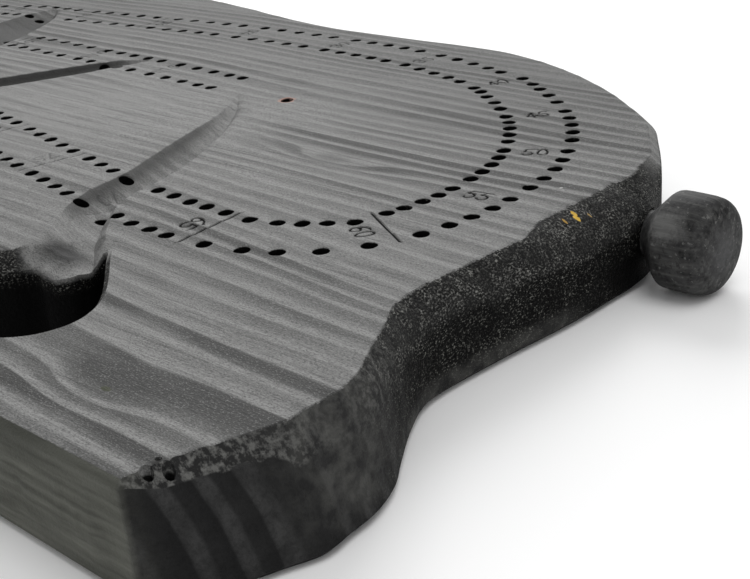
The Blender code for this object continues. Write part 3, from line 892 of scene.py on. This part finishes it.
def board_layers(spots, normal):
    """Return what the board's material needs at each vertex: where it is worn, grooved, sawn or cut, and
    where shade is painted.
    """
    x, y, level = spots.T
    flat = spots[:, :2]
    run, rise = shares(spots)
    z, groove_shade_amount, lip, rim = top_height(flat)
    below = z - level
    high = level > 8
    buried = top_z(flat) - level > 0.1
    _, place, edge_side = nearest_edge(flat)
    depth, weight = stroke_depth(flat)
    # Walls of the peg holes, where near-black shade is painted
    hole_shade = (hole_gap(flat) < (HOLE_R + 0.02) ** 2) & buried & (level > 4)
    chip = value_noise(x / 0.9, y / 0.9, 62) > 0.60
    on_lump = np.hypot(*((flat - RUBBED[0]) / RUBBED[1]).T)
    polished = smoothstep(1.15, 0.85, on_lump) * (below < 0.9)
    worn = np.maximum(at_place(WORN, place) * smoothstep(0.35, 0.75, normal[:, 2]), polished)
    dark_patch, calm = np.zeros((2, len(spots)))
    for middle, size, shade in DARK_PATCHES:
        dark_patch = np.maximum(dark_patch, shade * np.minimum(1, 1.6 * blob(x, y, middle, size)))
    for middle, size, strength in CALMS:
        bump = strength * blob(x, y, middle, size)
        calm = np.maximum(calm, bump) if strength > 0 else calm + bump
    # Painted shade on the sides in the gap between belly and hind leg, and beside the tail
    gap = zoned(run, rise, 0.0, [GAP_SHADE])
    tail_shade = np.exp(-(((y - TAIL_SHADE[0]) / TAIL_SHADE[1]) ** 2)) * (x > -12) * smoothstep(2.0, 5.5, below)
    toe = np.exp(-(((y - SCUFFED[0]) / SCUFFED[1]) ** 2)) * (x > 0)
    foot = smoothstep(5.5, 2.5, level) * smoothstep(44, 54, y) * smoothstep(108, 98, y)
    return {
        "ring": ring_at(spots),
        "rim": np.clip(rim, 0, 2) * (high & ~buried & (edge_side >= 0)),
        "worn": worn * high,
        "calm": calm,
        # Shade painted in the grooves
        "groove_shade_amount": groove_shade_amount * high,
        "lip": np.where(high, lip, LIP_FAR),
        "stroke": depth * high,
        "weight": weight * high,
        # Painted shade inside the peg holes
        "hole_shade": np.where(chip & (below < 0.6), 0.0, hole_shade),
        # Painted shade in the gap between the legs and beside the tail
        "hollow": np.maximum(gap * smoothstep(1.4, 3.4, below), tail_shade),
        "sole": smoothstep(0.020, 0.006, rise) * (1 - np.abs(normal[:, 0])),
        "heel": smoothstep(0.28, 0.12, rise) * (run > REAR),
        "dark_patch": dark_patch * high,
        "scuffed": toe * smoothstep(1.0, 5.0, level),
        "rump_foot": foot * (x > -12),
        "wall": smoothstep(0.30, 0.05, normal[:, 2]),
    }


def make_board():
    """Build the carved board as one mesh with what its material needs."""
    mesh = weld([top_surface(), *hole_surfaces(), *side_surfaces()], "carved_board", 38)
    spots = vertex_rows(mesh, "co") * 1000.0 - (RUMP_X, GROUND_Y, 0.0)
    for name, values in board_layers(spots, vertex_rows(mesh, "normal")).items():
        layer = mesh.attributes.new(name, "FLOAT", "POINT")
        layer.data.foreach_set("value", np.asarray(values, np.float32))
    return link("carved_board", mesh)


def turned(name, profile, sides, place, body, node):
    """Turn a profile of distance along +X and radius, in millimetres, and put it in place."""
    turn = np.linspace(0, 2 * np.pi, sides, endpoint=False)
    rings = []
    for along, radius in profile:
        ring = (np.full(sides, along), radius * np.cos(turn), radius * np.sin(turn))
        rings.append(np.column_stack(ring) + place)
    surface = (np.concatenate(rings), tube_faces(len(rings), sides))
    piece = link(name, weld([surface], name, 40))
    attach(piece, body)
    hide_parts(node)
    return piece


# Materials
def grey(level, blue=None):
    """Return a grey, with its own blue where that is given."""
    return (level, level, level if blue is None else blue, 1)


def bare_spot(place, size, colour):
    """Describe a patch of another colour, its place and size in plan millimetres."""
    return tuple(to_row([place])[0]), tuple(half / 1000 for half in size), colour


# Where the stain is chipped or rubbed off, or something is stuck on
BARE_SPOTS = [
    bare_spot((-4.7, 110.1, 17.6), (1.1, 0.65, 6.0), (0.62, 0.40, 0.07, 1)),
    bare_spot((-3.7, 109.6, 17.6), (1.2, 0.70, 6.0), (0.70, 0.46, 0.08, 1)),
    bare_spot((-3.2, 112.9, 17.6), (0.8, 0.4, 6.0), (0.36, 0.25, 0.10, 1)),
    bare_spot((-4.2, 106.6, 17.6), (1.0, 0.4, 6.0), (0.40, 0.25, 0.07, 1)),
    bare_spot((-108.7, 136.5, 19.0), (3.4, 3.4, 2.0), (0.30, 0.19, 0.16, 1)),
    bare_spot((-13.5, 118.4, 19.0), (0.5, 0.5, 1.0), grey(0.36, 0.35)),
    bare_spot((2.3, 55.8, 18.0), (0.5, 0.5, 4.0), grey(0.60, 0.58)),
    bare_spot((-18.9, 16.4, 19.0), (1.6, 0.8, 1.0), (0.060, 0.064, 0.045, 1)),
]
# Patches of the knob: painted highlight partly over rubbed stain on its upper side, painted shade low down
# by the rump, and painted light on its end face
KNOB_LIT_AND_RUBBED = bare_spot((7.5, 120.5, 15.0), (8.5, 6.5, 5.5), grey(0.145, 0.142))
KNOB_LOW_SHADE = bare_spot((3.5, 119.0, 7.0), (8.0, 6.0, 7.5), grey(0.010))
KNOB_FACE_LIGHT = bare_spot((17.0, 126.5, 9.0), (3.5, 8.5, 9.0), grey(0.085, 0.087))


class Nodes:
    """A small helper that adds shader nodes and links them."""

    def __init__(self, name):
        self.material = bpy.data.materials.new(name)
        self.material.use_nodes = True
        self.tree = self.material.node_tree
        self.shader = self.tree.nodes["Principled BSDF"]

    def add(self, kind, settings=None, **inputs):
        node = self.tree.nodes.new("ShaderNode" + kind)
        for key, value in (settings or {}).items():
            setattr(node, key, value)
        for key, value in inputs.items():
            self.put(node.inputs[key.replace("_", " ")], value)
        return node

    def put(self, socket, value):
        if isinstance(value, bpy.types.NodeSocket):
            self.tree.links.new(value, socket)
        else:
            socket.default_value = value

    def math(self, operation, a, b=0.0, clamp=False):
        node = self.add("Math", {"operation": operation, "use_clamp": clamp})
        self.put(node.inputs[0], a)
        self.put(node.inputs[1], b)
        return node.outputs[0]

    def times(self, a, b, clamp=False):
        return self.math("MULTIPLY", a, b, clamp)

    def plus(self, a, b):
        return self.math("ADD", a, b)

    def mix(self, share, a, b):
        node = self.add("Mix", {"data_type": "RGBA"})
        for number, value in ((0, share), (6, a), (7, b)):
            self.put(node.inputs[number], value)
        return node.outputs[2]

    def layers(self, colour, *coats):
        """Lay coats over a colour, each by its share."""
        for share, coat in coats:
            colour = self.mix(share, colour, coat)
        return colour

    def ramp(self, value, *stops):
        """Return a level that changes in straight lines from stop to stop."""
        node = self.add("ValToRGB")
        ramp = node.color_ramp
        while len(ramp.elements) < len(stops):
            ramp.elements.new(0.5)
        for element, (place, level) in zip(ramp.elements, stops):
            element.position = place
            element.color = grey(level)
        self.put(node.inputs[0], value)
        return node.outputs[0]

    def rise(self, value, low, high):
        """Return 0 up to low, 1 from high on, and a straight line between."""
        return self.ramp(value, (low, 0.0), (high, 1.0))

    def noise(self, vector, scale, detail, roughness):
        node = self.add("TexNoise", Vector=vector, Scale=scale, Detail=detail, Roughness=roughness)
        return node.outputs[0]

    def stretched(self, x, y, z):
        """Return object coordinates scaled along each axis."""
        where = self.add("TexCoord").outputs["Object"]
        return self.add("Mapping", Vector=where, Scale=(x, y, z)).outputs[0]

    def value(self, name):
        return self.add("Attribute", {"attribute_name": name}).outputs["Fac"]

    def vector(self, operation, *values):
        node = self.add("VectorMath", {"operation": operation})
        for socket, value in zip(node.inputs, values):
            self.put(socket, value)
        return node.outputs["Value" if operation == "LENGTH" else "Vector"]

    def spot(self, place, size, start=0.95):
        """Return 1 inside a soft-edged ellipsoid round a place, and 0 outside."""
        where = self.add("TexCoord").outputs["Object"]
        off = self.vector("DIVIDE", self.vector("SUBTRACT", where, place), size)
        ragged = self.times(self.noise(where, 1800.0, 2.0, 0.6), 0.6)
        away = self.plus(self.vector("LENGTH", off), ragged)
        return self.ramp(away, (0.0, 1.0), (start, 1.0), (1.0, 0.0))

    def finish(self, colour, roughness, specular, height, strength, distance):
        """Link the colour, the roughness and a bump to the shader, and return the material."""
        bump = self.add("Bump", Strength=strength, Distance=distance, Height=height)
        self.put(self.shader.inputs["Base Color"], colour)
        self.put(self.shader.inputs["Roughness"], roughness)
        self.put(self.shader.inputs["Normal"], bump.outputs[0])
        if specular is not None:
            self.shader.inputs["Specular IOR Level"].default_value = specular
        return self.material


def worn_top(n, ring, phase, worn, rim, fibre, blotch, long_fibre, grit):
    """Return the brushed top's colour, its grey partly worn stain and partly painted sheen: pale early wood,
    dark late wood, pores, painted shade towards the back and in the grooves.
    """
    late = n.ramp(
        phase, (0.0, 0.10), (0.08, 0.0), (0.24, 0.03), (0.38, 0.50), (0.58, 0.85), (0.90, 1.0),
        (0.95, 0.70), (1.0, 0.10),
    )
    own = n.add("TexWhiteNoise", {"noise_dimensions": "1D"}, W=n.math("FLOOR", ring)).outputs[0]
    calm = n.value("calm")
    strength = n.times(n.plus(0.36, n.times(own, 0.98)), n.math("SUBTRACT", 1.0, n.times(calm, 0.80)))
    streaks = n.times(n.times(late, strength), n.ramp(blotch, (0.32, 0.25), (0.54, 1.0)), True)
    # Painted shade: the top darker towards the back
    back = n.ramp(n.math("DIVIDE", ring, 60.0), (0.64, 0.0), (0.86, 0.50))
    rubbed = n.times(worn, n.ramp(rim, (0.90, 0.55), (1.0, 0.0)))
    pores = n.ramp(long_fibre, (0.34, 1.0), (0.46, 0.0))
    # Painted shade on the grooves' slopes, near black where it is strongest
    groove_shade = n.times(n.rise(n.value("lip"), 0.0, 0.30), n.value("groove_shade_amount"), True)
    return n.layers(
        n.mix(n.rise(fibre, 0.28, 0.72), grey(0.165, 0.162), grey(0.275, 0.270)),
        (n.times(streaks, 0.95, True), grey(0.048, 0.047)),
        (back, grey(0.070, 0.068)),
        (n.times(calm, 0.25, True), grey(0.29, 0.285)),
        (rubbed, grey(0.27, 0.265)),
        (n.times(pores, 0.45), grey(0.060, 0.059)),
        (n.ramp(grit, (0.36, 0.60), (0.47, 0.0)), grey(0.055, 0.054)),
        (n.ramp(grit, (0.56, 0.0), (0.66, 0.35)), grey(0.33, 0.325)),
        (n.times(groove_shade, 1.35, True), n.mix(fibre, grey(0.030, 0.029), grey(0.075, 0.073))),
        (n.times(n.math("SUBTRACT", groove_shade, 0.80, True), 4.0, True), grey(0.012)),
        # Darker patches, one of them painted shade where the haunch groove ends
        (n.times(n.value("dark_patch"), 0.92), grey(0.020)),
    )


def dark_side(n, phase, rim, speck, blotch):
    """Return the colour of what is sawn and rasped: the sides, the chamfer, the sole and the gap, with
    painted glints as pale specks and painted shade in the gap.
    """
    early = n.ramp(phase, (0.0, 0.8), (0.10, 1.0), (0.30, 0.9), (0.46, 0.15), (0.90, 0.0), (1.0, 0.8))
    early.node.color_ramp.interpolation = "EASE"
    cloud = n.noise(n.stretched(1, 1, 1), 320.0, 3.0, 0.6)
    fine = n.noise(n.stretched(0.8, 0.75, 1.15), 2900.0, 2.0, 0.7)
    chips = n.noise(n.stretched(700, 900, 900), 1.0, 3.0, 0.65)
    lay = n.noise(n.stretched(60, 900, 900), 1.0, 2.0, 0.5)
    sawn = n.layers(
        n.mix(early, grey(0.016, 0.0163), grey(0.050)),
        (n.ramp(cloud, (0.35, 0.45), (0.60, 0.0)), grey(0.012)),
        (n.ramp(speck, (0.35, 0.35), (0.55, 0.0)), grey(0.010)),
    )
    # Pale specks here are painted glints on the rough sawn fibres
    rough = n.mix(n.ramp(fine, (0.51, 0.0), (0.60, 0.12), (0.67, 1.0)), grey(0.002), grey(0.23, 0.21))
    rough = n.mix(n.ramp(cloud, (0.42, 0.6), (0.60, 0.0)), rough, grey(0.002))
    # Pale specks on the rasped chamfer are painted glints
    rasped = n.mix(n.ramp(fine, (0.44, 0.0), (0.55, 0.22), (0.66, 1.0)), grey(0.008), grey(0.25, 0.235))
    rasped = n.mix(n.ramp(cloud, (0.42, 0.75), (0.60, 0.0)), rasped, grey(0.016))
    edge = n.mix(n.rise(chips, 0.44, 0.62), grey(0.024), grey(0.140, 0.134))
    scuff = n.mix(n.rise(cloud, 0.36, 0.62), grey(0.030), grey(0.085, 0.080))
    sole = n.mix(n.rise(lay, 0.3, 0.7), (0.080, 0.082, 0.070, 1), (0.150, 0.153, 0.134, 1))
    sole = n.mix(n.ramp(blotch, (0.38, 0.85), (0.60, 0.0)), sole, (0.055, 0.057, 0.049, 1))
    return n.layers(
        n.mix(n.value("wall"), rasped, rough),
        (n.value("heel"), n.mix(n.rise(rim, 0.0, 0.06), sawn, edge)),
        (n.times(n.value("scuffed"), 0.80), scuff),
        (n.times(n.value("rump_foot"), 0.65), scuff),
        (n.value("sole"), sole),
        # Painted shade: near black in the gap between the legs and beside the tail
        (n.value("hollow"), grey(0.0012)),
    )


def board_material():
    """Black stain over brushed flat-sawn pine, near black on the sides; the top's grey is partly worn stain
    and partly painted sheen.
    """
    n = Nodes("black_stained_pine_sheen_and_wear")
    ring, rim, worn, hole_shade = (n.value(name) for name in ("ring", "rim", "worn", "hole_shade"))
    phase = n.math("FRACT", ring)
    fibre = n.noise(n.stretched(230, 2300, 2300), 1.0, 3.0, 0.65)
    long_fibre = n.noise(n.stretched(25, 800, 800), 1.0, 3.0, 0.6)
    blotch = n.noise(n.stretched(14, 55, 55), 1.0, 3.0, 0.55)
    speck = n.noise(n.stretched(1, 1, 1), 1300.0, 3.0, 0.7)
    grit = n.noise(n.stretched(1, 1.6, 1), 2600.0, 2.0, 0.6)
    ragged = n.plus(rim, n.times(n.math("SUBTRACT", speck, 0.5), 0.22))
    # The top's lighter colour stands partly for worn stain and partly for painted sheen
    up = n.math("MAXIMUM", n.rise(ragged, 0.93, 0.97), worn)
    up = n.times(up, n.math("SUBTRACT", 1.0, hole_shade))
    light = worn_top(n, ring, phase, worn, rim, fibre, blotch, long_fibre, grit)
    colour = n.mix(up, dark_side(n, phase, rim, speck, blotch), light)
    drawn = n.times(n.rise(n.value("stroke"), 0.30, 0.60), n.value("weight"), True)
    colour = n.mix(n.times(drawn, 0.97), colour, grey(0.005))
    for place, size, bare in BARE_SPOTS:
        colour = n.mix(n.spot(place, size), colour, bare)
    # Painted shade: the peg holes near black inside
    colour = n.mix(hole_shade, colour, grey(0.0015))
    relief = n.plus(n.plus(n.times(fibre, 0.9), n.times(long_fibre, 0.7)), n.times(grit, 0.8))
    height = n.mix(up, n.plus(n.times(speck, 3.2), n.times(grit, 1.2)), relief)
    return n.finish(colour, n.ramp(fibre, (0.2, 0.55), (0.8, 0.75)), 0.06, height, 0.7, 0.00026)


def knob_material():
    """Black stain over a turned knob, with pale lathe marks, a painted highlight partly over rubbed stain on
    its upper side, painted shade low down and painted light on its end face.
    """
    n = Nodes("black_stained_knob_turned")
    cloud = n.noise(n.stretched(1, 1, 1), 260.0, 4.0, 0.6)
    pits = n.noise(n.stretched(900, 900, 900), 1.0, 2.0, 0.6)
    fibre = n.noise(n.stretched(90, 900, 900), 1.0, 3.0, 0.6)
    colour = n.layers(
        n.mix(n.rise(cloud, 0.34, 0.66), grey(0.009, 0.0095), grey(0.056)),
        (n.ramp(fibre, (0.45, 0.0), (0.72, 0.7)), grey(0.095, 0.092)),
        (n.ramp(pits, (0.32, 0.6), (0.43, 0.0)), grey(0.010)),
        (n.ramp(pits, (0.62, 0.0), (0.70, 0.6)), grey(0.17, 0.165)),
    )
    streaky = n.ramp(fibre, (0.35, 0.45), (0.60, 1.0))
    # Painted light and shade on the knob, in patches
    for patch, start, share in ((KNOB_LIT_AND_RUBBED, 0.55, streaky), (KNOB_LOW_SHADE, 0.30, 0.9), (KNOB_FACE_LIGHT, 0.60, 0.55)):
        place, size, bare = patch
        colour = n.mix(n.times(n.spot(place, size, start), share), colour, bare)
    return n.finish(colour, n.ramp(cloud, (0.2, 0.50), (0.8, 0.70)), 0.08, n.plus(pits, fibre), 0.5, 0.00012)


def metal_material(name, colour, shade):
    """Turned metal with fine rings of tool marks and a little tarnish."""
    n = Nodes(name)
    marks = n.noise(n.stretched(4000, 60, 60), 1.0, 2.0, 0.5)
    tarnish = n.noise(n.stretched(1, 1, 1), 420.0, 3.0, 0.6)
    n.shader.inputs["Metallic"].default_value = 1.0
    colour = n.mix(n.ramp(tarnish, (0.35, 0.0), (0.75, 0.7)), (*colour, 1), (*shade, 1))
    return n.finish(colour, n.ramp(marks, (0.2, 0.18), (0.8, 0.38)), None, marks, 0.25, 0.00003)


# Pieces
board = make_board()
board.data.materials.append(board_material())
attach(board, "board")
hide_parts("board")

# Tail: tenon, neck, knob and rounded end, by distance from the rump and radius
TENON = 13.0
KNOB_CORE = (11.8, 6.3)
knob_profile = [
    (-TENON, 0.05), (-TENON, 3.55), (-12.6, 3.9), (-12.0, 4.35), (-11.2, 4.45), (-2.0, 4.45), (0.3, 4.45),
    (0.5, 4.7),
]
for share in np.linspace(0, 1, 7)[1:]:
    knob_profile.append((0.5 + 4.2 * share, 4.7 + 4.35 * share))
knob_profile += [(5.0, 9.28), (5.4, 9.37), (6.5, 9.42), (9.0, 9.42), (11.2, 9.38), (11.8, 9.30)]
for angle in np.radians(np.linspace(0, 90, 8)[1:]):
    knob_profile.append((KNOB_CORE[0] + 3.2 * math.sin(angle), KNOB_CORE[1] + 3.0 * math.cos(angle)))
knob_profile += [(15.25, 4.6), (15.45, 2.6), (15.55, 1.0), (15.6, 0.05)]
tail_place = (*plan(TAIL), THICK / 2)
knob = turned("turned_tail", knob_profile, 96, tail_place, "tail", "tail_plug")
knob.data.materials.append(knob_material())

# Pegs: a head with a groove and a collar, and a tapered shank
PEGS = 6
PEG_GAP = 5.6
PEG_RING = 3.0
PEG_SINK = 0.10
SHANK_START = (-3.8, 1.1)
peg_profile = [
    (0.0, 0.04), (-0.05, 0.5), (-0.2, 0.9), (-0.5, 1.2), (-0.8, 1.33), (-1.1, 1.35), (-1.6, 1.35),
    (-1.75, 1.2), (-1.95, 1.2), (-2.1, 1.35), (-2.9, 1.35), (-3.3, 1.18), SHANK_START,
]
for share in np.linspace(0, 1, 6)[1:]:
    peg_profile.append((SHANK_START[0] - 23.4 * share, SHANK_START[1] - 0.25 * share))
peg_profile += [(-27.6, 0.72), (-27.9, 0.45), (-28.0, 0.04)]
metals = {
    "brass": metal_material("turned_brass", (0.72, 0.50, 0.20), (0.42, 0.27, 0.11)),
    "steel": metal_material("turned_steel", (0.60, 0.60, 0.58), (0.34, 0.33, 0.31)),
}
for number in range(PEGS):
    angle = math.tau * number / PEGS + math.pi / 2
    place = (
        tail_place[0] - TENON - PEG_GAP,
        tail_place[1] + PEG_RING * math.cos(angle),
        tail_place[2] - PEG_SINK + PEG_RING * math.sin(angle),
    )
    name = "peg_%d" % (number + 1)
    slot_name = "steel" if number % 2 else "brass"
    peg = turned("turned_" + name, peg_profile, 24, place, name, name)
    peg.data.materials.append(metals[slot_name])


# Stage
def stage_plane(size):
    """Lay a pale floor that shows as plain white behind the board and keeps its shadow."""
    mesh = bpy.data.meshes.new("floor")
    half = size / 2
    corners = [(-half, -half, 0), (half, -half, 0), (half, half, 0), (-half, half, 0)]
    mesh.from_pydata(corners, [], [(0, 1, 2, 3)])
    n = Nodes("pale_floor")
    n.shader.inputs["Base Color"].default_value = grey(0.975)
    n.shader.inputs["Roughness"].default_value = 0.9
    mesh.materials.append(n.material)
    floor = link("floor", mesh)


stage_plane(12.0)

world = bpy.data.worlds.new("studio")
bpy.context.scene.world = world
world.use_nodes = True
tree = world.node_tree
background = tree.nodes["Background"]
path = tree.nodes.new("ShaderNodeLightPath")
strength = tree.nodes.new("ShaderNodeMapRange")
tree.links.new(path.outputs["Is Camera Ray"], strength.inputs["Value"])
strength.inputs["To Min"].default_value = 0.56
strength.inputs["To Max"].default_value = 1.0
tree.links.new(strength.outputs[0], background.inputs["Strength"])
background.inputs["Color"].default_value = (1, 1, 1, 1)


def lamp(name, place, target, size, power):
    """Hang a square soft lamp."""
    light = bpy.data.lights.new(name, "AREA")
    light.size = size
    light.energy = power
    thing = link(name, light)
    thing.location = place
    thing.rotation_euler = (Vector(target) - Vector(place)).to_track_quat("-Z", "Y").to_euler()


lamp("softbox_back", (-1.1, 1.3, 1.0), (0.1, 0.0, 0.0), 1.2, 31.5)
lamp("softbox_top", (0.6, -0.1, 1.6), (0.1, 0.0, 0.0), 1.0, 7.0)

# Camera, where the photograph's perspective puts it
PITCH = 0.41010936
ROLL = 0.08235159
FOCAL_SHARE = 1307.5 / 750
SENSOR = 36.0
heading = Vector((-math.sqrt(0.5), math.sqrt(0.5), 0))
level = Vector((math.sqrt(0.5), math.sqrt(0.5), 0))
forward = heading * math.cos(PITCH) + Vector((0, 0, -math.sin(PITCH)))
down = -heading * math.sin(PITCH) + Vector((0, 0, -math.cos(PITCH)))
right = level * math.cos(ROLL) + down * math.sin(ROLL)
up = -(down * math.cos(ROLL) - level * math.sin(ROLL))
camera_data = bpy.data.cameras.new("camera")
camera_data.sensor_width = SENSOR
camera_data.lens = FOCAL_SHARE * SENSOR
camera_data.clip_start = 0.01
camera = link("camera", camera_data)
spot = Vector((0.327854, -0.18415, 0.103))
turn = Matrix((right, up, -forward)).transposed().to_4x4()
camera.matrix_world = Matrix.Translation(spot) @ turn
bpy.context.scene.camera = camera

scene = bpy.context.scene
scene.view_settings.view_transform = "Standard"
